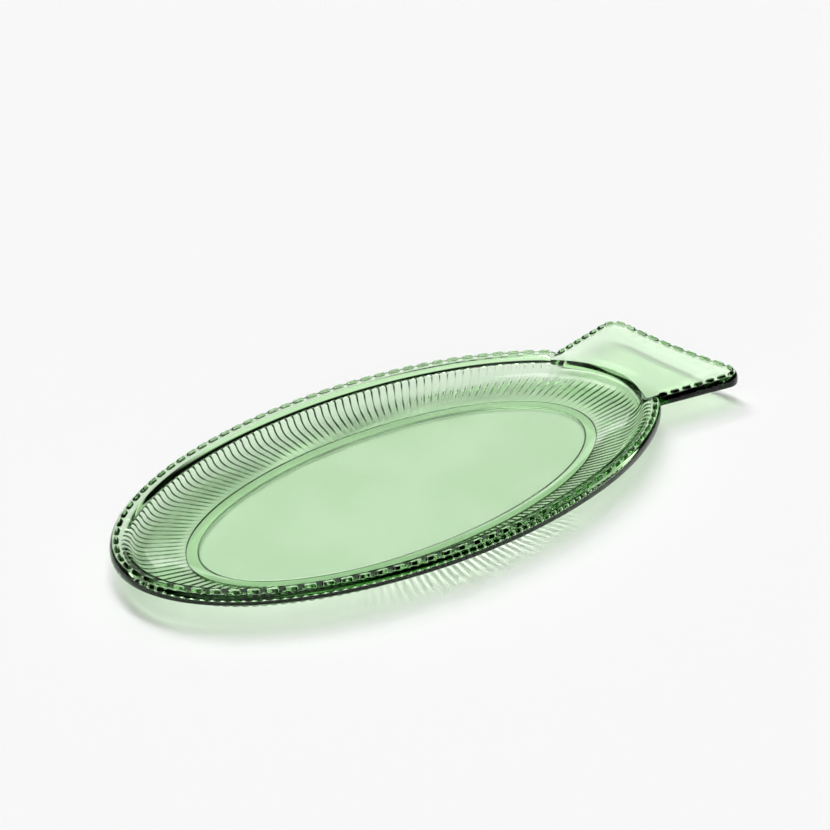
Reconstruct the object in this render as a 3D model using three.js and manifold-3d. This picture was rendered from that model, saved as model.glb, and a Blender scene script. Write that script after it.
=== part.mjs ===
// Oval serving dish of pressed green glass: a shallow bowl with a smooth inside, a reeded outside,
// a beaded rim, a foot ring, and a flat flared tail at one end to lift it by.
// It is pressed in one piece, so it is one solid. Millimetres, +Z up, standing on z = 0.

import * as THREE from 'three';
import { mergeVertices } from 'three/addons/utils/BufferGeometryUtils.js';
import Module from 'manifold-3d';

// Bowl in plan: an oval whose half on the tail's side is a little longer
const RIM_HALF_LENGTH = 155;
const RIM_HALF_WIDTH = 83.8;
const TAIL_SIDE_STRETCH = 1.02;

// Bowl in section, from the ledge that carries the beads inwards and down
const LEDGE_WIDTH = 4.7;
const LIP_RADIUS = 3.6;
const SHOULDER_DEPTH = 8.55;
const WALL_LEAN = 4.3;
const SHOULDER_RADIUS = 5;
const OUTER_SHOULDER_RADIUS = 6;
const SLOPE_FALL = 4;
const SLOPE_RUN_AT_ENDS = 23.5;
const SLOPE_RUN_AT_SIDES = 13.6;
const WELL_RADIUS = 9;
const GLASS_THICKNESS = 4;
const FOOT_HEIGHT = 2;
const FOOT_WIDTH = 6;

// Outer face of the rim and the tail, rounded at its top and its bottom
const BAND_HEIGHT = 4.85;
const FACE_TOP_RUN = 1.4;
const FACE_TOP_DROP = 2;
const FACE_BOTTOM_ROUNDING = 1.8;
const COVE_LEG = 0.6;

// Beads along the rim and the tail: a row of raised oblong lumps with a gap between each two
const BEAD_PITCH = 8.2;
const BEAD_GAP = 2.2;
const BEAD_RISE = 1;
const BEAD_SHOULDER = 0.8;
const BEAD_HEIGHT = 1.65;
const BEAD_MIDDLE_INSET = 2.85;
const BEAD_INNER_INSET = 4.2;

// Reeds on the outside of the wall
const REED_PITCH = 4.55;
const REED_DEPTH = 1.4;

// Tail
const TAIL_REACH = 198;
const TAIL_HALF_WIDTH = 45.5;
const TAIL_NECK_HALF_WIDTH = 37.3;
const TAIL_END_HOLLOW = 2.2;
const TAIL_CORNER_RADIUS = 10.2;
const TAIL_DROP = 1.5;
const TAIL_THICKNESS_AT_NECK = 4.5;
const TAIL_THICKNESS_AT_END = 6;
const TAIL_SEAT_OVERLAP = 0.5;

// Fineness of the facets
const RING_STEPS = 84;
const CURVE_STEPS = 3;
const REED_STEPS = 3;

const GLASS_GREEN = 0xb9d9b0;
const GLASS_ROUGHNESS = 0.05;

const FLOOR_TOP = FOOT_HEIGHT + GLASS_THICKNESS;
const LEDGE_TOP = FLOOR_TOP + SLOPE_FALL + SHOULDER_DEPTH;
const TAIL_TOP = LEDGE_TOP - TAIL_DROP;

const wasm = await Module();
wasm.setup();

// Solids

// Puts triangles between two rings of columns, each column at its own place from 0 to 1 round the ring.
function stitch(low, high, faces) {
  const placeOf = (ring, step) => ring[step % ring.length].place + Math.floor(step / ring.length);
  let i = 0;
  let j = 0;
  while (i < low.length || j < high.length) {
    const lowCorner = low[i % low.length].index;
    const highCorner = high[j % high.length].index;
    const lowIsNext = placeOf(low, i + 1) <= placeOf(high, j + 1);
    if (j === high.length || (i < low.length && lowIsNext)) {
      i += 1;
      faces.push(lowCorner, low[i % low.length].index, highCorner);
    } else {
      j += 1;
      faces.push(lowCorner, high[j % high.length].index, highCorner);
    }
  }
}

function capFaces(ring) {
  const outline = ring.map((column) => new THREE.Vector2(column.point.x, column.point.y));
  return THREE.ShapeUtils.triangulateShape(outline, []).map((face) => face.map((k) => ring[k].index));
}

// A closed solid through rings that run anticlockwise, from the middle of its underside to that of its top.
function loft(rings) {
  const points = [];
  const faces = [];
  for (const ring of rings) {
    for (const column of ring) {
      column.index = points.length;
      points.push(column.point);
    }
  }
  for (let k = 1; k < rings.length; k += 1) {
    stitch(rings[k - 1], rings[k], faces);
  }
  for (const [a, b, c] of capFaces(rings[0])) {
    faces.push(a, c, b);
  }
  for (const [a, b, c] of capFaces(rings[rings.length - 1])) {
    faces.push(a, b, c);
  }
  const geometry = new THREE.BufferGeometry().setFromPoints(points);
  geometry.setIndex(faces);
  return solidFrom(geometry);
}

function solidFrom(geometry) {
  const merged = mergeVertices(geometry);
  const vertProperties = new Float32Array(merged.attributes.position.array);
  const triVerts = new Uint32Array(merged.index.array);
  return new wasm.Manifold(new wasm.Mesh({ numProp: 3, vertProperties, triVerts }));
}

function geometryFrom(solid) {
  const mesh = solid.getMesh();
  const geometry = new THREE.BufferGeometry();
  geometry.setAttribute('position', new THREE.BufferAttribute(mesh.vertProperties, mesh.numProp));
  geometry.setIndex(new THREE.BufferAttribute(mesh.triVerts, 1));
  geometry.computeVertexNormals();
  return geometry;
}

// Oval rings
// A station is one oval of the bowl: x is its half length, y its half width and z its height.

const station = (inset, height) =>
  new THREE.Vector3(RIM_HALF_LENGTH - inset, RIM_HALF_WIDTH - inset, height);

const towards = (from, to, leg) => from.clone().lerp(to, leg / from.distanceTo(to));

const rimCurve = new THREE.EllipseCurve(0, 0, RIM_HALF_LENGTH, RIM_HALF_WIDTH);
rimCurve.arcLengthDivisions = 2000;

// Places round the oval are spaced by the length of the rim, so that a pattern keeps its pitch.
function ovalColumn(oval, place) {
  const angle = 2 * Math.PI * rimCurve.getUtoTmapping(place % 1);
  const across = Math.cos(angle);
  const x = oval.x * across * (across > 0 ? TAIL_SIDE_STRETCH : 1);
  return { place, point: new THREE.Vector3(x, oval.y * Math.sin(angle), oval.z) };
}

const evenPlaces = Array.from({ length: RING_STEPS }, (_, k) => k / RING_STEPS);
const plainRing = (oval) => evenPlaces.map((place) => ovalColumn(oval, place));

// Section of the bowl

const lipCorner = station(LEDGE_WIDTH + LIP_RADIUS, LEDGE_TOP);
const shoulder = station(LEDGE_WIDTH + LIP_RADIUS + WALL_LEAN, LEDGE_TOP - SHOULDER_DEPTH);
const wellEdge = shoulder.clone().sub(new THREE.Vector3(SLOPE_RUN_AT_ENDS, SLOPE_RUN_AT_SIDES, SLOPE_FALL));

const roundCorner = (before, corner, after, leg) =>
  new THREE.QuadraticBezierCurve3(towards(corner, before, leg), corner, towards(corner, after, leg))
    .getPoints(CURVE_STEPS);

// The smooth inside of the bowl, taken up past the rim so that it cuts the bowl open.
function hollow() {
  const inset = (amount) => new THREE.Vector3(amount, amount, 0);
  const floorInside = wellEdge.clone().sub(inset(SLOPE_RUN_AT_SIDES));
  const ledgeEdge = station(LEDGE_WIDTH, LEDGE_TOP);
  const aboveRim = station(LEDGE_WIDTH, LEDGE_TOP + LIP_RADIUS);
  const ovals = [
    ...roundCorner(floorInside, wellEdge, shoulder, WELL_RADIUS),
    ...roundCorner(wellEdge, shoulder, lipCorner, SHOULDER_RADIUS),
    ...roundCorner(shoulder, lipCorner, ledgeEdge, LIP_RADIUS),
    aboveRim,
  ];
  return loft(ovals.map(plainRing));
}

// Beads

// One bead as columns: how far along its pitch each lies, and how far up the bead's crest has risen there.
// The columns at the two ends of the bead also carry the plain rings beside the beads.
function beadColumns(pitch) {
  const start = BEAD_GAP / 2;
  const rise = start + BEAD_RISE;
  return [
    { along: start, crest: 0, edge: true },
    { along: rise, crest: BEAD_SHOULDER },
    { along: pitch / 2, crest: 1 },
    { along: pitch - rise, crest: BEAD_SHOULDER },
    { along: pitch - start, crest: 0, edge: true },
  ];
}

// The section of the beaded edge, from its underside up the outer face and over the beads. Each row gives
// how far in from the edge and how far below the top it runs; only the crest differs along a bead.
function edgeSection(height) {
  return [
    { inset: FACE_BOTTOM_ROUNDING, drop: height, low: true },
    { inset: 0, drop: height - FACE_BOTTOM_ROUNDING, low: true },
    { inset: 0, drop: FACE_TOP_DROP },
    { inset: FACE_TOP_RUN, drop: 0 },
    { inset: BEAD_MIDDLE_INSET, drop: 0, beaded: true },
    { inset: BEAD_INNER_INSET, drop: 0 },
  ];
}

const rowDrop = (row, column) => row.drop - (row.beaded ? BEAD_HEIGHT * column.crest : 0);

function rimRings() {
  const rimLength = rimCurve.getLength();
  const beadCount = Math.round(rimLength / BEAD_PITCH);
  const pitch = rimLength / beadCount;
  const columns = [];
  for (let bead = 0; bead < beadCount; bead += 1) {
    for (const column of beadColumns(pitch)) {
      columns.push({ ...column, place: (bead + column.along / pitch) / beadCount });
    }
  }
  const ends = columns.filter((column) => column.edge);
  return edgeSection(BAND_HEIGHT).map((row) => (row.beaded ? columns : ends).map((column) =>
    ovalColumn(station(row.inset, LEDGE_TOP - rowDrop(row, column)), column.place)));
}

// Reeds

// The outside of the wall follows the inside at the glass thickness, from the foot up to the flat underside of
// the rim band. The reeds end in a small cove there, and the wall behind the tail has none above its turn.
function reedRings() {
  const outwards = (oval, down) =>
    oval.clone().add(new THREE.Vector3(GLASS_THICKNESS, GLASS_THICKNESS, -down));
  const outerLip = outwards(lipCorner, 0);
  const outerShoulder = outwards(shoulder, GLASS_THICKNESS);
  const wallAt = (drop) => outerLip.clone().lerp(outerShoulder, drop / (outerLip.z - outerShoulder.z));
  const coveStart = wallAt(BAND_HEIGHT + COVE_LEG);
  const coveEnd = wallAt(BAND_HEIGHT).add(new THREE.Vector3(COVE_LEG, COVE_LEG, 0));
  const footTop = wellEdge.clone().setZ(FOOT_HEIGHT);
  const turn = roundCorner(footTop, outerShoulder, coveStart, OUTER_SHOULDER_RADIUS);
  const crests = [footTop, ...turn, coveStart, coveEnd];
  const depths = [0, ...turn.map(() => 1), 1, 0];

  const upwards = new THREE.Vector3(0, 0, REED_DEPTH);
  const inwards = new THREE.Vector3(-REED_DEPTH, -REED_DEPTH, 0);
  const grooves = crests.map((oval, k) => {
    const turned = Math.min(Math.max((k - 1) / CURVE_STEPS, 0), 1);
    return oval.clone().addScaledVector(upwards.clone().lerp(inwards, turned), depths[k]);
  });

  const reedCount = Math.round(rimCurve.getLength() / REED_PITCH);
  return crests.map((crest, k) => {
    const ring = [];
    for (let step = 0; step < reedCount * REED_STEPS; step += 1) {
      const place = step / (reedCount * REED_STEPS);
      const { point } = ovalColumn(crest, place);
      const behindTail = point.x > 0 && Math.abs(point.y) < TAIL_NECK_HALF_WIDTH;
      const fullness = behindTail && k > 1 ? 1 : Math.sin(Math.PI * (step % REED_STEPS) / REED_STEPS);
      ring.push(ovalColumn(grooves[k].clone().lerp(crest, fullness), place));
    }
    return ring;
  });
}

// The bowl before it is hollowed: foot ring, reeded wall and beaded rim.
function bowlBlank() {
  const footOuter = wellEdge.clone().setZ(0);
  const footInner = footOuter.clone().sub(new THREE.Vector3(FOOT_WIDTH, FOOT_WIDTH, 0));
  const floorUnderside = footInner.clone().setZ(FOOT_HEIGHT);
  const footRings = [floorUnderside, footInner, footOuter].map(plainRing);
  return loft([...footRings, ...reedRings(), ...rimRings()]);
}

// Tail

// The edges of the tail in plan, from the bowl out along its right side, round the end and back.
function tailEdges() {
  const neck = new THREE.Vector2(
    TAIL_SIDE_STRETCH * RIM_HALF_LENGTH * Math.sqrt(1 - (TAIL_NECK_HALF_WIDTH / RIM_HALF_WIDTH) ** 2),
    TAIL_NECK_HALF_WIDTH,
  );
  const cornerCentre = new THREE.Vector2(TAIL_REACH - TAIL_CORNER_RADIUS, TAIL_HALF_WIDTH - TAIL_CORNER_RADIUS);
  const toCorner = cornerCentre.clone().sub(neck);
  const sideAngle = toCorner.angle() + Math.asin(TAIL_CORNER_RADIUS / toCorner.length());
  const sideDirection = new THREE.Vector2(Math.cos(sideAngle), Math.sin(sideAngle));
  const sideEnd = neck.clone().addScaledVector(
    sideDirection,
    Math.sqrt(toCorner.lengthSq() - TAIL_CORNER_RADIUS ** 2),
  );
  const rootLength = 2 * (LEDGE_WIDTH + LIP_RADIUS + WALL_LEAN + GLASS_THICKNESS);
  const root = neck.clone().addScaledVector(sideDirection, -rootLength);

  // The hollow end is an arc that touches both round corners from outside.
  const endMiddle = TAIL_REACH - TAIL_END_HOLLOW;
  const cornerGap = endMiddle - cornerCentre.x;
  const endRadius = (cornerGap ** 2 + cornerCentre.y ** 2 - TAIL_CORNER_RADIUS ** 2)
    / (2 * (TAIL_CORNER_RADIUS - cornerGap));
  const endCentre = endMiddle + endRadius;
  const endAngle = Math.atan2(cornerCentre.y, endCentre - cornerCentre.x);

  const mirrored = (v) => new THREE.Vector2(v.x, -v.y);
  const sideNormal = sideAngle + Math.PI / 2;
  const radius = TAIL_CORNER_RADIUS;
  return {
    rootRight: new THREE.LineCurve(mirrored(root), mirrored(neck)),
    right: new THREE.LineCurve(mirrored(neck), mirrored(sideEnd)),
    rightCorner: new THREE.EllipseCurve(
      cornerCentre.x, -cornerCentre.y, radius, radius, -sideNormal, endAngle),
    end: new THREE.EllipseCurve(
      endCentre, 0, endRadius, endRadius, Math.PI + endAngle, Math.PI - endAngle, true),
    leftCorner: new THREE.EllipseCurve(
      cornerCentre.x, cornerCentre.y, radius, radius, -endAngle, sideNormal),
    left: new THREE.LineCurve(sideEnd, neck),
    rootLeft: new THREE.LineCurve(neck, root),
  };
}

// Columns along one edge of the tail, with a whole number of beads.
function edgeColumns(curve) {
  const length = curve.getLength();
  const beadCount = Math.round(length / BEAD_PITCH);
  const pitch = length / beadCount;
  const columns = [];
  for (let bead = 0; bead < beadCount; bead += 1) {
    for (const column of beadColumns(pitch)) {
      columns.push(columnAt(curve, (bead * pitch + column.along) / length, column));
    }
  }
  return columns;
}

function columnAt(curve, share, column) {
  const tangent = curve.getTangentAt(share);
  const outward = new THREE.Vector2(tangent.y, -tangent.x);
  return { ...column, spot: curve.getPointAt(share), outward };
}

function tailColumns() {
  const edges = tailEdges();
  const plain = { crest: 0, edge: true };
  return [
    columnAt(edges.rootRight, 0, plain),
    ...edgeColumns(edges.right),
    ...edgeColumns(edges.rightCorner),
    ...edgeColumns(edges.end),
    ...edgeColumns(edges.leftCorner),
    ...edgeColumns(edges.left),
    columnAt(edges.rootLeft, 1, plain),
  ].map((column, k, all) => ({ ...column, place: k / all.length }));
}

// One ring of the tail, with each column moved in from the edge and down. The tail is thinner towards the
// bowl, so its low rows rise that way.
function tailRing(columns, row) {
  const risePerLength = (TAIL_THICKNESS_AT_END - TAIL_THICKNESS_AT_NECK) / (TAIL_REACH - RIM_HALF_LENGTH);
  return columns.map((column) => {
    const flat = column.spot.clone().addScaledVector(column.outward, -row.inset);
    const rise = row.low ? risePerLength * (TAIL_REACH - flat.x) : 0;
    const point = new THREE.Vector3(flat.x, flat.y, TAIL_TOP - rowDrop(row, column) + rise);
    return { place: column.place, point };
  });
}

function tailPlate() {
  const columns = tailColumns();
  const ends = columns.filter((column) => column.edge);
  return loft(edgeSection(TAIL_THICKNESS_AT_END).map((row) => tailRing(row.beaded ? columns : ends, row)));
}

// The seat where the tail crosses the rim: the rim is taken away here down to the middle of the tail.
function tailSeat() {
  const ends = tailColumns().filter((column) => column.edge);
  return loft([
    tailRing(ends, { inset: TAIL_SEAT_OVERLAP, drop: TAIL_THICKNESS_AT_NECK / 2 }),
    tailRing(ends, { inset: TAIL_SEAT_OVERLAP, drop: -LIP_RADIUS }),
  ]);
}

function glassDish() {
  const solid = bowlBlank().subtract(tailSeat()).add(tailPlate()).subtract(hollow());
  const material = new THREE.MeshStandardMaterial({
    color: GLASS_GREEN,
    roughness: GLASS_ROUGHNESS,
    metalness: 0,
  });
  const dish = new THREE.Mesh(geometryFrom(solid), material);
  dish.name = 'glass_dish';
  return dish;
}

// The group is placed so that the middle of the dish's length lies over the origin.
const servingDish = new THREE.Group();
servingDish.add(glassDish());
servingDish.position.x = (RIM_HALF_LENGTH - TAIL_REACH) / 2;

export default servingDish;
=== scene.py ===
# %% [markdown]
# # An oval serving dish of pressed green glass
# This lesson dresses a finished CAD solid. The dish is one piece of glass: a shallow oval bowl with a
# smooth inside, a reeded outside, a row of beads along the edge, a foot ring, and a flat flared tail.
# The CAD solid has the right sizes but flat facets, and glass shows every facet. So the skin of the
# dish is made again here from the same sizes, with round beads and round reeds.

# %% Load the frame
import math

import bpy
import numpy as np
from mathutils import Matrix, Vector


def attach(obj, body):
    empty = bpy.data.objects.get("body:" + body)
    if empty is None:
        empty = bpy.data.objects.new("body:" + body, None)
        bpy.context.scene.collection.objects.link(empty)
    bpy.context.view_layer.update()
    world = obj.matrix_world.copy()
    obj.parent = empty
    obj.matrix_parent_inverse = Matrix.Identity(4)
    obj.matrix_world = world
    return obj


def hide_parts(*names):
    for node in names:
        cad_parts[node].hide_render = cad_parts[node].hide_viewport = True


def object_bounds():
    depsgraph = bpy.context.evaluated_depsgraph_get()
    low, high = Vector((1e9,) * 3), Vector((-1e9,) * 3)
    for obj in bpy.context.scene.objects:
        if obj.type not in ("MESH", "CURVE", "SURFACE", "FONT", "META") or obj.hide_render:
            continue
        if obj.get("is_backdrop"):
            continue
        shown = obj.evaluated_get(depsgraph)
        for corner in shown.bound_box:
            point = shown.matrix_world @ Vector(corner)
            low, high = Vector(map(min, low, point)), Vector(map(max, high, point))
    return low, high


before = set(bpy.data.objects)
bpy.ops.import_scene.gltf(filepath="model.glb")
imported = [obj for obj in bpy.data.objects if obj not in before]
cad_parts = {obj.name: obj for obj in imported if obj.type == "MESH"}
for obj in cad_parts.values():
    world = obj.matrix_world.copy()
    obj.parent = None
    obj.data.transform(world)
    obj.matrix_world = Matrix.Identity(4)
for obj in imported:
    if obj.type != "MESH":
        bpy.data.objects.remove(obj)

MM = 0.001
cad_low, cad_high = (list(corner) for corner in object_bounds())


def in_mm(*lengths):
    """Lengths in millimetres, rounded for printing."""
    return [round(float(length) / MM, 1) for length in lengths]


print("CAD box in mm:", in_mm(*cad_low, *cad_high))

# %% [markdown]
# ## Ovals
# A bowl that isn't round can't be spun on an axis. It is lofted instead: each height of its section is
# an oval, here called a station, which is three numbers: half length, half width and height. The largest
# oval comes from the CAD box, so the skin can't grow out of the solid that it stands for. Points round an
# oval are counted by places from 0 to 1 along the length of the rim, so that beads and reeds keep the same
# spacing at the pointed ends and along the flat sides.

# %% Sizes of the largest oval
RIM_HALF_LENGTH = 155 * MM
RIM_HALF_WIDTH = cad_high[1]
RIM_TOP = cad_high[2]
TAIL_SIDE_STRETCH = 1.02
BOWL_MIDDLE = cad_low[0] + RIM_HALF_LENGTH
print("top of the rim and middle of the bowl in mm:", in_mm(RIM_TOP, BOWL_MIDDLE))

# %% Places round the rim
FINE_STEPS = 20000
fine_angles = np.linspace(0, 2 * math.pi, FINE_STEPS + 1)
middle_angles = (fine_angles[1:] + fine_angles[:-1]) / 2
fine_lengths = np.hypot(RIM_HALF_LENGTH * np.sin(middle_angles), RIM_HALF_WIDTH * np.cos(middle_angles))
rim_lengths = np.concatenate([[0], np.cumsum(fine_lengths)]) * 2 * math.pi / FINE_STEPS
RIM_LENGTH = rim_lengths[-1]
print("rim length in mm:", in_mm(RIM_LENGTH))


def oval_angle(place):
    """Angle on the oval of a place from 0 to 1 round the rim."""
    return np.interp(np.asarray(place) % 1 * RIM_LENGTH, rim_lengths, fine_angles)


def oval_points(stations, places):
    """Points of one station for all places, or of one station for each place."""
    stations = np.broadcast_to(stations, (len(places), 3))
    angle = oval_angle(places)
    across = np.cos(angle)
    x = BOWL_MIDDLE + stations[:, 0] * across * np.where(across > 0, TAIL_SIDE_STRETCH, 1)
    y = stations[:, 1] * np.sin(angle)
    return np.stack([x, y, stations[:, 2]], axis=1)


def station(inset, height):
    """The oval that lies a distance inside the rim, at a height."""
    return np.array([RIM_HALF_LENGTH - inset, RIM_HALF_WIDTH - inset, height])


# %% [markdown]
# ## Round corners
# Pressed glass has no sharp corner: the mould rounds each one. A Bevel modifier could round them, but here
# each corner has its own size and two legs of different length, so it is drawn as a curve between the legs.
# Smooth shading mixes the normals of neighbouring faces. Beside a round corner it would tilt a whole flat
# strip, and glass would show it. A guard row close to each end of a corner keeps the flat strip flat.

# %% Corners
GUARD = 0.15 * MM


def towards(start, end, leg):
    """The point that lies a leg away from the start, on the way to the end."""
    return start + (end - start) * leg / np.linalg.norm(end - start, axis=-1, keepdims=True)


def bend(before, corner, after, amount):
    """Point of the round turn between two legs, at an amount from 0 to 1."""
    amount = np.asarray(amount)[..., None]
    return (1 - amount) ** 2 * before + 2 * amount * (1 - amount) * corner + amount ** 2 * after


def round_corner(before, corner, after, legs, steps):
    """A rounded corner with a guard row beyond each end."""
    ends = [towards(corner, end, leg) for end, leg in zip((before, after), legs)]
    guards = [towards(corner, end, leg + GUARD) for end, leg in zip((before, after), legs)]
    turn = bend(ends[0], corner, ends[1], np.linspace(0, 1, steps + 1))
    return np.concatenate([guards[:1], turn, guards[1:]])


# %% [markdown]
# ## The line of the outer edge
# The edge of the dish is one closed line: out along one side of the tail, round its end, back along the
# other side, and round the rim. It could be a Blender curve, but beads have to stand at equal distances on
# it. So each stretch is a length and a function that gives points and outward directions along it.

# %% Lines and arcs


def line_edge(start, end):
    """A straight stretch; its outside is on the right of the walk."""
    start, end = np.array(start), np.array(end)
    length = np.linalg.norm(end - start)
    along = (end - start) / length
    outward = np.array([along[1], -along[0]])

    def at(fractions):
        points = start + fractions[:, None] * (end - start)
        return points, np.broadcast_to(outward, points.shape)

    return length, at


def arc_edge(centre, radius, first_angle, last_angle):
    """An arc walked from the first angle to the last; its outside is on the right of the walk."""
    side = 1 if last_angle > first_angle else -1

    def at(fractions):
        angle = first_angle + fractions * (last_angle - first_angle)
        rays = np.stack([np.cos(angle), np.sin(angle)], axis=1)
        return np.array(centre) + radius * rays, side * rays

    return radius * abs(last_angle - first_angle), at


# %% The tail's outline
TAIL_REACH = cad_high[0] - BOWL_MIDDLE
TAIL_HALF_WIDTH = 45.5 * MM
TAIL_NECK_HALF_WIDTH = 37.3 * MM
TAIL_END_HOLLOW = 2.2 * MM
TAIL_CORNER_RADIUS = 10.2 * MM
neck_angle = math.asin(TAIL_NECK_HALF_WIDTH / RIM_HALF_WIDTH)
neck_x = TAIL_SIDE_STRETCH * RIM_HALF_LENGTH * math.cos(neck_angle)
NECK_PLACE = float(np.interp(neck_angle, fine_angles, rim_lengths)) / RIM_LENGTH


def tail_edges():
    """Two sides, two round corners and the hollow end, walked from neck to neck."""
    neck = np.array([BOWL_MIDDLE + neck_x, TAIL_NECK_HALF_WIDTH])
    corner = np.array([BOWL_MIDDLE + TAIL_REACH, TAIL_HALF_WIDTH]) - TAIL_CORNER_RADIUS
    reach = np.linalg.norm(corner - neck)
    side_angle = math.atan2(*(corner - neck)[::-1]) + math.asin(TAIL_CORNER_RADIUS / reach)
    side_end = neck + math.sqrt(reach ** 2 - TAIL_CORNER_RADIUS ** 2) * np.array(
        [math.cos(side_angle), math.sin(side_angle)])
    end_middle = BOWL_MIDDLE + TAIL_REACH - TAIL_END_HOLLOW
    gap = end_middle - corner[0]
    end_radius = (gap ** 2 + corner[1] ** 2 - TAIL_CORNER_RADIUS ** 2) / (2 * (TAIL_CORNER_RADIUS - gap))
    end_centre = end_middle + end_radius
    end_angle = math.atan2(corner[1], end_centre - corner[0])
    side_normal = side_angle + math.pi / 2
    flip = np.array([1, -1])
    return [
        line_edge(neck * flip, side_end * flip),
        arc_edge(corner * flip, TAIL_CORNER_RADIUS, -side_normal, end_angle),
        arc_edge([end_centre, 0], end_radius, math.pi + end_angle, math.pi - end_angle),
        arc_edge(corner, TAIL_CORNER_RADIUS, -end_angle, side_normal),
        line_edge(side_end, neck),
    ]


print("stretches of the tail edge in mm:", in_mm(*(length for length, at in tail_edges())))

# %% The rim's outline


def rim_edge():
    """The rim from one side of the tail's neck round to the other."""

    def at(fractions):
        places = NECK_PLACE + fractions * (1 - 2 * NECK_PLACE)
        points = oval_points(station(0, RIM_TOP), places)[:, :2]
        angle = oval_angle(places)
        half_length = RIM_HALF_LENGTH * np.where(np.cos(angle) > 0, TAIL_SIDE_STRETCH, 1)
        normal = np.stack([np.cos(angle) / half_length, np.sin(angle) / RIM_HALF_WIDTH], axis=1)
        return points, normal / np.linalg.norm(normal, axis=1, keepdims=True)

    return RIM_LENGTH * (1 - 2 * NECK_PLACE), at


print("rim edge in mm:", in_mm(rim_edge()[0]))

# %% [markdown]
# ## Beads
# All of the edge carries beads: oblong lumps that the mould presses up on a flat ledge, with short flat
# gaps between them. A bead could be a small mesh copied along the line, but faces hidden inside the glass
# would bend the light. So the beads grow out of the skin. Its columns stand close together at the ends of
# each bead, and each column knows how full its bead is there: 0 in a gap and 1 in the middle of a bead.

# %% Columns of the edge
BEAD_PITCH = 8.2 * MM
BEAD_GAP = 2.2 * MM
BEAD_SQUARENESS = 6
GAP_COLUMNS = np.array([0.0, 0.98])
BEAD_COLUMNS = np.array([0.02, 0.07, 0.16, 0.3, 0.55, 1.0])


def bead_pattern(length):
    """Distances along an edge, and how full the bead is at each column, for a whole number of beads."""
    bead_count = round(length / BEAD_PITCH)
    pitch = length / bead_count
    half_gap = BEAD_GAP / 2
    half_bead = pitch / 2 - half_gap
    half = np.concatenate([GAP_COLUMNS * half_gap, half_gap + BEAD_COLUMNS * half_bead])
    across = np.concatenate([half, pitch - half[-2:0:-1]])
    from_gap = np.minimum(across, pitch - across)
    from_middle = 1 - np.clip((from_gap - half_gap) / half_bead, 0, 1)
    full = np.sqrt(1 - from_middle ** BEAD_SQUARENESS)
    distances = (np.arange(bead_count)[:, None] * pitch + across).ravel()
    return distances, np.tile(full, bead_count), bead_count


# %% Thickness of the edge
BEAD_HEIGHT = 1.65 * MM
LEDGE_TOP = RIM_TOP - BEAD_HEIGHT
BAND_THICKNESS = 4.85 * MM
TAIL_DROP = 1.5 * MM
TAIL_THICKNESS_AT_NECK = 4.5 * MM
TAIL_THICKNESS_AT_END = 6 * MM


def tail_thickness(x):
    """The tail grows thicker from the bowl to its end."""
    taper = (TAIL_THICKNESS_AT_END - TAIL_THICKNESS_AT_NECK) / (TAIL_REACH - RIM_HALF_LENGTH)
    return TAIL_THICKNESS_AT_END - taper * (BOWL_MIDDLE + TAIL_REACH - x)


print("ledge under the beads on the rim and on the tail in mm:", in_mm(LEDGE_TOP, LEDGE_TOP - TAIL_DROP))

# %% All columns of the edge


def edge_columns():
    """Each column's point, outward direction, bead fullness, place round the rim, thickness and top."""
    parts = []
    tail = tail_edges()
    tail_length = sum(length for length, at in tail)
    walked = 0
    bead_total = 0
    for length, at in tail:
        distances, full, beads = bead_pattern(length)
        bead_total += beads
        points, outward = at(distances / length)
        places = NECK_PLACE * (2 * (walked + distances) / tail_length - 1)
        top = np.full(len(points), LEDGE_TOP - TAIL_DROP)
        parts.append((points, outward, full, places, tail_thickness(points[:, 0]), top))
        walked += length
    length, at = rim_edge()
    distances, full, beads = bead_pattern(length)
    points, outward = at(distances / length)
    places = NECK_PLACE + distances / RIM_LENGTH
    thickness, top = (np.full(len(points), height) for height in (BAND_THICKNESS, LEDGE_TOP))
    parts.append((points, outward, full, places, thickness, top))
    names = ("point", "outward", "full", "place", "thickness", "top")
    columns = {name: np.concatenate(pieces) for name, pieces in zip(names, zip(*parts))}
    print("edge:", len(columns["place"]), "columns,", bead_total + beads, "beads")
    return columns


edge = edge_columns()

# %% [markdown]
# ## Section of the edge
# Under the beads, the edge has an upright outer face that rounds over to the ledge, a small round corner
# below it, and a flat underside. This section decides what the edge shows. Light that comes in through the
# face is caught in the glass, so the near side of the rim looks nearly black, as thick glass does.

# %% Rings of the edge
BEAD_MIDDLE_INSET = 3.1 * MM
BEAD_HALF_WIDTH = 1.2 * MM
LEAST_BEAD_WIDTH = 0.45
FLAT_BESIDE_BEAD = 0.2 * MM
FACE_RUN = 1.9 * MM
FACE_DROP = 3.4 * MM
BAND_ROUNDING = 0.5 * MM
BEAD_ROWS = 6
FACE_ROWS = 7
ROUND_ROWS = 3


def edge_ring(inset, drop):
    """A ring that lies inside the outer edge and below the ledge."""
    inset = np.broadcast_to(inset, edge["place"].shape)
    flat = edge["point"] - edge["outward"] * inset[:, None]
    return edge["place"], np.column_stack([flat, edge["top"] - drop])


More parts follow.
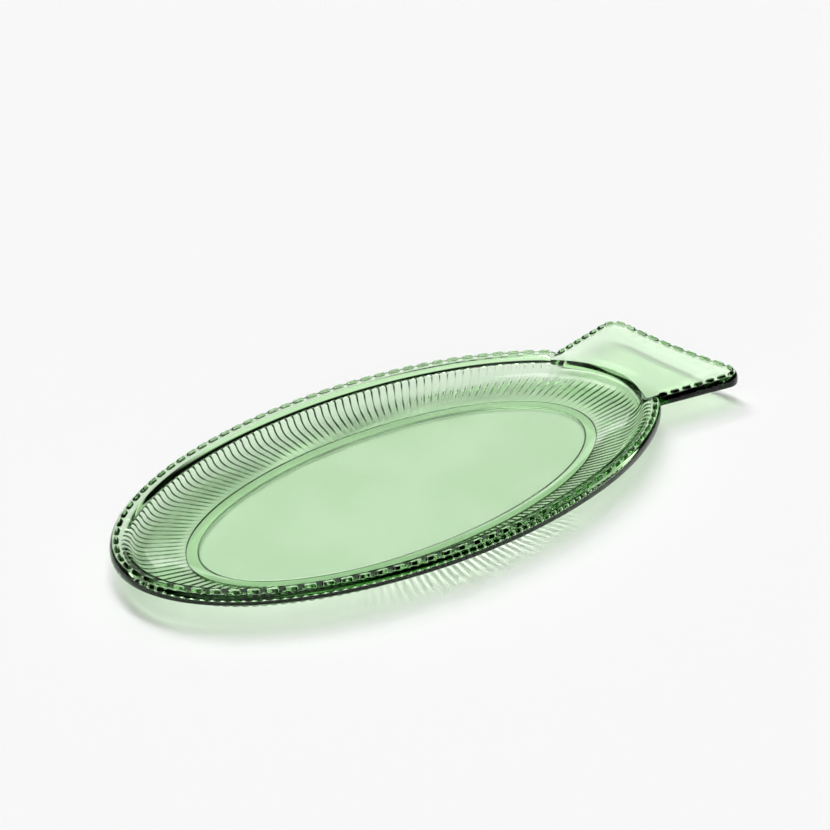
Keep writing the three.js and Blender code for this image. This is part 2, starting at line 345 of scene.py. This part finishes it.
def edge_rings():
    """Rings of the edge from its underside, up its outer face and over the beads."""
    rings = [edge_ring(BAND_ROUNDING + GUARD, edge["thickness"])]
    for turn in np.linspace(math.pi / 2, 0, ROUND_ROWS + 1):
        drop = edge["thickness"] - BAND_ROUNDING * (1 - math.sin(turn))
        rings.append(edge_ring(BAND_ROUNDING * (1 - math.cos(turn)), drop))
    for turn in np.linspace(0, math.pi / 2, FACE_ROWS + 1):
        rings.append(edge_ring(FACE_RUN * (1 - math.cos(turn)), FACE_DROP * (1 - math.sin(turn))))
    width = BEAD_HALF_WIDTH * np.maximum(edge["full"], LEAST_BEAD_WIDTH)
    for across in np.linspace(-1, 1, BEAD_ROWS + 1):
        rise = BEAD_HEIGHT * edge["full"] * (1 - across ** 2)
        rings.append(edge_ring(BEAD_MIDDLE_INSET + across * width, -rise))
    rings.append(edge_ring(BEAD_MIDDLE_INSET + BEAD_HALF_WIDTH + FLAT_BESIDE_BEAD, 0))
    print("edge:", len(rings), "rings")
    return rings


# %% [markdown]
# ## The smooth inside
# Seen in section, the inside comes in over a round lip, drops down a steep wall, turns at the shoulder
# into a gentle slope, and runs out into the flat well. At the tail the lip is cut lower, level with the
# top of the tail, so there the lip's turn stops early. The inside is plain, so a few hundred columns do.

# %% Stations of the inside
LEDGE_WIDTH = 4.7 * MM
LIP_RADIUS = 3.6 * MM
WALL_LEAN = 4.3 * MM
SHOULDER_DEPTH = 10.2 * MM
SLOPE_RUN_AT_ENDS = 23.5 * MM
SLOPE_RUN_AT_SIDES = 13.6 * MM
SLOPE_FALL = 4 * MM
ledge_edge = station(LEDGE_WIDTH, LEDGE_TOP)
lip_corner = station(LEDGE_WIDTH + LIP_RADIUS, LEDGE_TOP)
shoulder = station(LEDGE_WIDTH + LIP_RADIUS + WALL_LEAN, RIM_TOP - SHOULDER_DEPTH)
well_edge = shoulder - np.array([SLOPE_RUN_AT_ENDS, SLOPE_RUN_AT_SIDES, SLOPE_FALL])
print("well: length and width in mm", in_mm(*2 * well_edge[:2]), "and height", in_mm(well_edge[2]))

# %% Rings of the inside
INSIDE_COLUMNS = 480
SHOULDER_LEGS = (5 * MM, 8 * MM)
WELL_RADIUS = 9 * MM
NECK_BLEND = 1.5 * MM
LIP_ROWS = 7
TURN_ROWS = 10
WELL_ROWS = 9
FLOOR_SHARES = (0.3, 0.6, 0.85)


def even_places(count):
    """Places at equal steps round the rim, the first beside the neck."""
    return -NECK_PLACE + (np.arange(count) + 0.5) / count


def beside_tail(places, start, end):
    """0 along the rim and 1 at the tail; start and end are the ramp's distances inside the neck."""
    from_middle = np.abs((places + 0.5) % 1 - 0.5)
    ramp = np.clip(((NECK_PLACE - from_middle) * RIM_LENGTH - start) / (end - start), 0, 1)
    return ramp ** 2 * (3 - 2 * ramp)


def inside_rings():
    """Rings of the inside from the lip down to the middle of the well."""
    places = even_places(INSIDE_COLUMNS)
    floor_inside = well_edge - np.array([SLOPE_RUN_AT_SIDES, SLOPE_RUN_AT_SIDES, 0])
    lip = round_corner(ledge_edge, lip_corner, shoulder, (LIP_RADIUS, LIP_RADIUS), LIP_ROWS)
    turn = round_corner(lip_corner, shoulder, well_edge, SHOULDER_LEGS, TURN_ROWS)
    run_out = round_corner(shoulder, well_edge, floor_inside, (WELL_RADIUS, WELL_RADIUS), WELL_ROWS)
    floor = [run_out[-1] * [share, share, 1] for share in reversed(FLOOR_SHARES)]
    top = LEDGE_TOP - TAIL_DROP * beside_tail(places, -NECK_BLEND / 2, NECK_BLEND / 2)
    rings = []
    for oval in np.concatenate([lip, turn, run_out, floor]):
        points = oval_points(oval, places)
        points[:, 2] = np.minimum(points[:, 2], top)
        rings.append((places, points))
    print("inside:", len(rings), "rings with", INSIDE_COLUMNS, "columns")
    return rings


# %% [markdown]
# ## The reeded outside
# The outside follows the inside at the thickness of the glass. Reeds run down it from the rim band towards
# the foot: round ribs that meet in narrow grooves. They could be a bump texture, but glass bends the light
# at every real curve, and the reeds throw streaks of light on the table, so they are modelled. The grooves
# are deepest on the steep wall, grow shallower on the slope and run out before the foot. Behind the tail
# the wall is plain: a wide cove carries it out into the tail's underside.

# %% Stations of the outside
GLASS_THICKNESS = 4 * MM
FOOT_HEIGHT = 2 * MM
OUTER_TURN_UP = 7.5 * MM
OUTER_TURN_UP_AT_TAIL = 3.5 * MM
OUTER_TURN_DOWN = 14 * MM
thickness_outwards = np.array([GLASS_THICKNESS, GLASS_THICKNESS, 0])
outer_lip = lip_corner + thickness_outwards
outer_shoulder = shoulder + thickness_outwards - [0, 0, GLASS_THICKNESS]
foot_top = well_edge * [1, 1, 0] + [0, 0, FOOT_HEIGHT]
print("height of the outer turn and thickness in mm:", in_mm(outer_shoulder[2], GLASS_THICKNESS))

# %% The cove under the edge
COVE_LEG = 0.6 * MM
COVE_BLEND = 8 * MM
TAIL_COVE_START = 9 * MM
TAIL_COVE_BEND = (5 * MM, 7.2 * MM)
TAIL_COVE_REACH = 1 * MM
UPWARDS = np.array([0, 0, 1])
INWARDS = np.array([-1, -1, 0])


def cove_stations(places, at_tail):
    """Start, bend and end of the cove between the wall and the underside of the edge, for each place."""
    lean = (outer_shoulder - outer_lip) / (outer_lip[2] - outer_shoulder[2])
    rim_cove = [lean * (BAND_THICKNESS + COVE_LEG), lean * BAND_THICKNESS,
                lean * BAND_THICKNESS - INWARDS * COVE_LEG]
    tail_end = station(-TAIL_COVE_REACH, LEDGE_TOP - TAIL_DROP)
    tail_x = oval_points(tail_end, places)[:, :1]
    tail_bend = station(TAIL_COVE_BEND[0], LEDGE_TOP - TAIL_COVE_BEND[1])
    tail_cove = [lean * TAIL_COVE_START, tail_bend - outer_lip,
                 tail_end - UPWARDS * tail_thickness(tail_x) - outer_lip]
    return [outer_lip + rim + (tail - rim) * at_tail for rim, tail in zip(rim_cove, tail_cove)]


# %% Rings of the outside
REED_PITCH = 4.55 * MM
REED_DEPTH = 1.4 * MM
SLOPE_REED_SHARE = 0.75
REED_FADE_START = 0.05
GROOVE_SOFTNESS = 0.06
REED_COLUMNS = 8
SLOPE_ROWS = 5
OUTER_TURN_ROWS = 9
WALL_ROWS = 3
COVE_ROWS = 6


def reed_grooves(places, reed_count):
    """Depth of the grooves at each place: nothing on top of a reed, all of it between two reeds."""
    arch = np.abs(np.sin(math.pi * (places + NECK_PLACE) * reed_count))
    fullness = np.sqrt(arch ** 2 + GROOVE_SOFTNESS ** 2) / math.sqrt(1 + GROOVE_SOFTNESS ** 2)
    return REED_DEPTH * (1 - fullness)[:, None]


def reed_rings():
    """Rings of the reeded outside from the foot up to the underside of the edge."""
    reed_count = round(RIM_LENGTH / REED_PITCH)
    places = even_places(reed_count * REED_COLUMNS)
    at_tail = beside_tail(places, 0, COVE_BLEND)[:, None]
    slope = towards(outer_shoulder, foot_top, OUTER_TURN_DOWN)
    wall_foot = towards(
        outer_shoulder, outer_lip, OUTER_TURN_UP + (OUTER_TURN_UP_AT_TAIL - OUTER_TURN_UP) * at_tail)
    cove = cove_stations(places, at_tail)
    grooves = reed_grooves(places, reed_count)
    slope_grooves = SLOPE_REED_SHARE * grooves
    wall_grooves = grooves * (1 - at_tail)
    rows = []
    for share in np.linspace(0, 1, SLOPE_ROWS, endpoint=False):
        fade = max(share - REED_FADE_START, 0) / (1 - REED_FADE_START)
        rows.append(foot_top + (slope - foot_top) * share + UPWARDS * slope_grooves * fade)
    for turned in np.linspace(0, 1, OUTER_TURN_ROWS + 1):
        oval = bend(slope, outer_shoulder, wall_foot, np.full(len(places), turned))
        into = UPWARDS * (1 - turned) + INWARDS * turned
        rows.append(oval + into * (slope_grooves * (1 - turned) + wall_grooves * turned))
    for share in np.linspace(0, 1, WALL_ROWS + 1)[1:]:
        rows.append(wall_foot + (cove[0] - wall_foot) * share + INWARDS * wall_grooves)
    for share in np.linspace(0, 1, COVE_ROWS + 1)[1:]:
        oval = bend(*cove, np.full(len(places), share))
        into = INWARDS * (1 - share) + UPWARDS * share
        rows.append(oval + into * wall_grooves * (1 - share))
    rows.append(towards(cove[2], cove[1], -GUARD))
    print("outside:", reed_count, "reeds,", len(rows), "rings with", len(places), "columns")
    return [(places, oval_points(row, places)) for row in rows]


# %% [markdown]
# ## The foot ring
# The dish stands on a low oval ring under the edge of its well, so that the floor stays clear of the table.
# Through the glass its two sides show as two thin oval lines. Three rounded corners make its section.

# %% Rings of the foot
FOOT_WIDTH = 6 * MM
FOOT_ROUNDING = (0.9 * MM, 0.9 * MM)


def foot_rings():
    """Rings from the middle of the floor's underside, round the foot and up its outer side."""
    places = even_places(INSIDE_COLUMNS)
    outer = foot_top * [1, 1, 0]
    width = np.array([FOOT_WIDTH, FOOT_WIDTH, 0])
    inner = outer - width
    inner_top = foot_top - width
    floor = [inner_top * [share, share, 1] for share in FLOOR_SHARES]
    corners = [(inner_top - width, inner_top, inner), (inner_top, inner, outer), (inner, outer, foot_top)]
    sides = [row for corner in corners for row in round_corner(*corner, FOOT_ROUNDING, ROUND_ROWS)]
    print("foot: outside in mm", in_mm(*2 * outer[:2]), "and width of the ring", in_mm(FOOT_WIDTH))
    return [(places, oval_points(oval, places)) for oval in floor + sides]


# %% [markdown]
# ## Joining the rings into one skin
# All rings now lie in order, from the middle of the underside, up the outside, over the edge and down the
# inside. Where two rings have the same columns, the strip between them is a row of four-sided faces. Where
# the columns differ, as between the reeds and the beads, the strip is zipped with triangles: always step on
# along the ring that lags behind. These zips lie on flat glass, where they can't be seen.

# %% Strips between rings


def zip_strip(low, high, low_start, high_start):
    """Triangles between two rings with different columns."""
    low_places = np.append(low, low[0] + 1)
    high_places = np.append(high, high[0] + 1)
    faces = []
    i = j = 0
    while i < len(low) or j < len(high):
        a = low_start + i % len(low)
        c = high_start + j % len(high)
        step_low = j == len(high) or (i < len(low) and low_places[i + 1] <= high_places[j + 1])
        if step_low:
            i += 1
            faces.append((a, low_start + i % len(low), c))
        else:
            j += 1
            faces.append((a, high_start + j % len(high), c))
    return faces


def even_strip(count, low_start, high_start):
    """Four-sided faces between two rings with the same columns."""
    here = np.arange(count)
    following = (here + 1) % count
    corners = [low_start + here, low_start + following, high_start + following, high_start + here]
    return np.stack(corners, axis=1).tolist()


# %% Build the skin
SHARP_ANGLE = math.radians(38)


def skin_mesh(name, rings):
    """One closed skin: a strip between each two rings and a fan over each end."""
    starts = np.cumsum([0] + [len(places) for places, points in rings])
    points = np.concatenate([points for places, points in rings])
    faces = []
    for k in range(len(rings) - 1):
        low, high = rings[k][0], rings[k + 1][0]
        if len(low) == len(high) and np.allclose(low, high):
            faces += even_strip(len(low), int(starts[k]), int(starts[k + 1]))
        else:
            faces += zip_strip(low, high, int(starts[k]), int(starts[k + 1]))
    first = list(range(starts[0], starts[1]))
    last = list(range(starts[-2], starts[-1]))
    middles = [rings[0][1].mean(axis=0), rings[-1][1].mean(axis=0)]
    under_middle = len(points)
    top_middle = under_middle + 1
    faces += [(first[k], under_middle, first[(k + 1) % len(first)]) for k in range(len(first))]
    faces += [(last[k], last[(k + 1) % len(last)], top_middle) for k in range(len(last))]
    mesh = bpy.data.meshes.new(name)
    mesh.from_pydata(np.concatenate([points, middles]).tolist(), [], faces)
    mesh.validate()
    mesh.shade_smooth()
    mesh.set_sharp_from_angle(angle=SHARP_ANGLE)
    return mesh


skin = skin_mesh("glass_skin", foot_rings() + reed_rings() + edge_rings() + inside_rings())
dish = bpy.data.objects.new("glass_skin", skin)
bpy.context.collection.objects.link(dish)
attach(dish, "root")
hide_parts("glass_dish")
skin.calc_loop_triangles()
print("skin:", len(skin.vertices), "points,", len(skin.loop_triangles), "triangles")

# %% [markdown]
# ## Shader maths
# A material is a graph of nodes, and sums in it are Math nodes. Wiring them by hand hides the sum, so a small
# class wraps one socket: plus, minus and times on it add the Math node. Colours are mixed by a Mix node,
# because a Math node would turn them grey. Every other node comes from one method.

# %% Wires


class Wire:
    """An output socket that can be used in sums."""

    def __init__(self, socket):
        self.socket = socket
        self.tree = socket.id_data

    @staticmethod
    def node(tree, kind, settings=(), inputs=(), output=0):
        """Adds a node: settings first, then a value or a wire for each input, by name or number."""
        made = tree.nodes.new(kind)
        for name, value in dict(settings).items():
            setattr(made, name, value)
        for name, value in dict(inputs).items():
            if isinstance(value, Wire):
                tree.links.new(value.socket, made.inputs[name])
            else:
                made.inputs[name].default_value = value
        return Wire(made.outputs[output]) if made.outputs else made

    def _sum(self, operation, first, second):
        inputs = {0: first, 1: second}
        return Wire.node(self.tree, "ShaderNodeMath", {"operation": operation}, inputs)

    def __add__(self, other):
        return self._sum("ADD", self, other)

    def __radd__(self, other):
        return self._sum("ADD", other, self)

    def __sub__(self, other):
        return self._sum("SUBTRACT", self, other)

    def __rsub__(self, other):
        return self._sum("SUBTRACT", other, self)

    def __mul__(self, other):
        return self._sum("MULTIPLY", self, other)

    def __rmul__(self, other):
        return self._sum("MULTIPLY", other, self)

    def step(self, edge):
        """A soft step: 0 below the first value of the edge and 1 above the second."""
        return Wire.node(
            self.tree, "ShaderNodeMapRange", {"interpolation_type": "SMOOTHSTEP"},
            {"Value": self, "From Min": edge[0], "From Max": edge[1]},
        )

    def mix_colours(self, low, high):
        """The low colour where this wire is 0, and the high one where it is 1."""
        colour_a, colour_b, colour_result = 6, 7, 2
        return Wire.node(
            self.tree, "ShaderNodeMix", {"data_type": "RGBA"},
            {0: self, colour_a: low, colour_b: high}, output=colour_result,
        )

    def facing(self, direction):
        """How far this vector points in a direction, from -1 to 1."""
        return Wire.node(
            self.tree, "ShaderNodeVectorMath", {"operation": "DOT_PRODUCT"},
            {0: self, 1: direction}, output="Value",
        )


# %% [markdown]
# ## Green glass
# Glass has no colour on its surface: the green is in its depth. A thin floor is pale, and a long way through
# the rim or the tail is nearly black. So the colour is a Volume Absorption, which takes away red and blue
# along the way of the light. The surface is clear but not perfect. The mould leaves wide shallow waves and a
# fine skin, which are two bumps, the glass is faintly cloudy in patches, and handling leaves faint smears,
# which are a little rougher than the polish round them. Seen head on, its faces mirror less than new clear
# glass would, so the pale floor doesn't grey the dark rim.

# %% Glass material
GLASS_IOR = 1.52
FACE_MIRROR = (0.4, 0.4, 0.4, 1)
ABSORPTION_COLOUR = (0.244, 0.695, 0.11, 1)
ABSORPTION_PER_METRE = 82
WAVE_SIZE = 30 * MM
WAVE_HEIGHT = 0.4 * MM
WAVE_STRENGTH = 0.06
WAVE_DETAIL = 1.0
SKIN_SIZE = 1.6 * MM
SKIN_HEIGHT = 0.01 * MM
SKIN_STRENGTH = 0.12
SKIN_DETAIL = 2.0
CLOUD_SIZE = 45 * MM
CLOUD_DETAIL = 3.0
CLOUD_EDGE = (0.4, 0.65)
CLEAR = (1, 1, 1, 1)
CLOUDY = (0.95, 0.965, 0.945, 1)
SMEAR_SIZE = 18 * MM
SMEAR_DETAIL = 4.0
SMEAR_EDGE = (0.45, 0.75)
SMEAR_ROUGHNESS = 0.02


def green_glass():
    material = bpy.data.materials.new("green_glass")
    material.use_nodes = True
    tree = material.node_tree
    tree.nodes.clear()
    place = Wire.node(tree, "ShaderNodeTexCoord", output="Object")

    def noise(size, detail):
        return Wire.node(
            tree, "ShaderNodeTexNoise", inputs={"Vector": place, "Scale": 1 / size, "Detail": detail})

    waves = Wire.node(
        tree, "ShaderNodeBump",
        inputs={"Strength": WAVE_STRENGTH, "Distance": WAVE_HEIGHT, "Height": noise(WAVE_SIZE, WAVE_DETAIL)},
    )
    fine_skin = Wire.node(
        tree, "ShaderNodeBump",
        inputs={
            "Strength": SKIN_STRENGTH, "Distance": SKIN_HEIGHT,
            "Height": noise(SKIN_SIZE, SKIN_DETAIL), "Normal": waves,
        },
    )
    glass = Wire.node(
        tree, "ShaderNodeBsdfPrincipled",
        inputs={
            "Base Color": noise(CLOUD_SIZE, CLOUD_DETAIL).step(CLOUD_EDGE).mix_colours(CLEAR, CLOUDY),
            "Roughness": noise(SMEAR_SIZE, SMEAR_DETAIL).step(SMEAR_EDGE) * SMEAR_ROUGHNESS,
            "IOR": GLASS_IOR,
            "Specular Tint": FACE_MIRROR,
            "Transmission Weight": 1.0,
            "Normal": fine_skin,
        },
    )
    depth = Wire.node(
        tree, "ShaderNodeVolumeAbsorption",
        inputs={"Color": ABSORPTION_COLOUR, "Density": ABSORPTION_PER_METRE},
    )
    Wire.node(tree, "ShaderNodeOutputMaterial", inputs={"Surface": glass, "Volume": depth})
    print("green_glass:", len(tree.nodes), "nodes")
    return material


skin.materials.append(green_glass())

# %% [markdown]
# ## Floor
# The dish stands on a plain pale floor. It is much larger than the picture, so its far edge never shows. It
# lies a hair below the foot: two faces in the same plane would flicker between glass and floor.

# %% Floor
FLOOR_HALF = 40.0
FLOOR_LEVEL = -0.2 * MM
FLOOR_WHITE = (0.94, 0.94, 0.94, 1)


def plain_floor():
    mesh = bpy.data.meshes.new("floor")
    signs = ((-1, -1), (1, -1), (1, 1), (-1, 1))
    corners = [(FLOOR_HALF * x, FLOOR_HALF * y, FLOOR_LEVEL) for x, y in signs]
    mesh.from_pydata(corners, [], [(0, 1, 2, 3)])
    material = bpy.data.materials.new("floor_white")
    material.use_nodes = True
    tree = material.node_tree
    tree.nodes.clear()
    paper = Wire.node(tree, "ShaderNodeBsdfDiffuse", inputs={"Color": FLOOR_WHITE})
    Wire.node(tree, "ShaderNodeOutputMaterial", inputs={"Surface": paper})
    mesh.materials.append(material)
    floor = bpy.data.objects.new("floor", mesh)
    bpy.context.collection.objects.link(floor)
    floor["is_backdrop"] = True
    print("floor:", 2 * FLOOR_HALF, "m square")


plain_floor()

# %% [markdown]
# ## Light
# Clear glass is lit by what it mirrors and bends, so the light is a sky of soft patches and not a lamp. A
# photographer does the same with white panels in a dark room. A long panel hangs over the dish and lights the
# floor. It is narrow along the dish, so that the reeds throw streaks. A soft fill on the camera's side lifts
# the shadow. A dim sheet stands behind, high up, for the pale back of the rim. A low strip is mirrored by
# the well and, brighter at its foot, by the tail. The rest of the room stays dark, and dark is what makes the
# near rim and the lip black.

# %% Sky
ROOM_LEVEL = 0.006
UP = Vector((0, 0, 1))
ALONG = Vector((1, 0, 0))
PANEL_LEVEL = 8.9
PANEL_DIRECTION = Vector((0.0, 0.25, 1.0)).normalized()
PANEL_EDGE = (0.84, 0.88)
PANEL_SIDES = (0.13, 0.17)
FILL_LEVEL = 1.2
FILL_DIRECTION = Vector((-0.68, -0.733, 0.6)).normalized()
FILL_EDGE = (0.75, 0.9)
SHEET_LEVEL = 1.5
SHEET_DIRECTION = Vector((0.68, 0.733, 1.43)).normalized()
SHEET_EDGE = (0.866, 0.906)
SHEET_BOTTOM = (0.66, 0.73)
STRIP_LEVEL = 1.0
STRIP_FOOT_LEVEL = 2.2
STRIP_DIRECTION = Vector((0.68, 0.733, 0.4)).normalized()
STRIP_EDGE = (0.95, 0.98)
STRIP_BOTTOM = (0.385, 0.405)
STRIP_MIDDLE = (0.427, 0.445)
STRIP_TOP = (0.515, 0.53)


def studio_sky():
    world = bpy.data.worlds.new("studio")
    bpy.context.scene.world = world
    world.use_nodes = True
    tree = world.node_tree
    tree.nodes.clear()
    ray = Wire.node(tree, "ShaderNodeTexCoord", output="Generated")
    height = ray.facing(UP)
    along = ray.facing(ALONG)
    left_side = tuple(-side for side in reversed(PANEL_SIDES))
    panel = ray.facing(PANEL_DIRECTION).step(PANEL_EDGE) * (along.step(left_side) - along.step(PANEL_SIDES))
    sheet = ray.facing(SHEET_DIRECTION).step(SHEET_EDGE) * height.step(SHEET_BOTTOM)
    above_bottom = height.step(STRIP_BOTTOM)
    strip = (above_bottom - height.step(STRIP_TOP)) * STRIP_LEVEL
    strip_foot = (above_bottom - height.step(STRIP_MIDDLE)) * STRIP_FOOT_LEVEL
    low = ray.facing(STRIP_DIRECTION).step(STRIP_EDGE) * (strip + strip_foot)
    fill = ray.facing(FILL_DIRECTION).step(FILL_EDGE)
    level = ROOM_LEVEL + panel * PANEL_LEVEL + fill * FILL_LEVEL + sheet * SHEET_LEVEL + low
    light = Wire.node(tree, "ShaderNodeBackground", inputs={"Strength": level})
    Wire.node(tree, "ShaderNodeOutputWorld", inputs={"Surface": light})
    print("sky:", len(tree.nodes), "nodes")


studio_sky()

# %% [markdown]
# ## Camera
# The camera looks down on the dish from its blunt end, with the tail pointing away to the right. Light may
# pass many faces of the glass before it comes out, so the paths are long. Blender blurs mirrored light on
# such paths to save time, and that would smear the lines of the reeds, so the blur is off.

# %% Camera
CAMERA_AZIMUTH = math.radians(-42.87)
CAMERA_ELEVATION = math.radians(26.47)
CAMERA_DISTANCE = 1.070
CAMERA_AIM = Vector((0.01546, 0.0292, 0.0194))
SENSOR_WIDTH = 36
FOCAL_LENGTH = 95.4
GLASS_BOUNCES = 32


def photo_camera():
    data = bpy.data.cameras.new("camera")
    data.sensor_width = SENSOR_WIDTH
    data.lens = FOCAL_LENGTH
    camera = bpy.data.objects.new("camera", data)
    bpy.context.collection.objects.link(camera)
    back = Vector((
        math.sin(CAMERA_AZIMUTH) * math.cos(CAMERA_ELEVATION),
        -math.cos(CAMERA_AZIMUTH) * math.cos(CAMERA_ELEVATION),
        math.sin(CAMERA_ELEVATION),
    ))
    camera.location = CAMERA_AIM + back * CAMERA_DISTANCE
    camera.rotation_euler = back.to_track_quat("Z", "Y").to_euler()
    bpy.context.scene.camera = camera
    print("camera at", [round(v, 3) for v in camera.location], "m")


photo_camera()
scene = bpy.context.scene
scene.view_settings.view_transform = "Standard"
scene.cycles.max_bounces = GLASS_BOUNCES
scene.cycles.transmission_bounces = GLASS_BOUNCES
scene.cycles.blur_glossy = 0
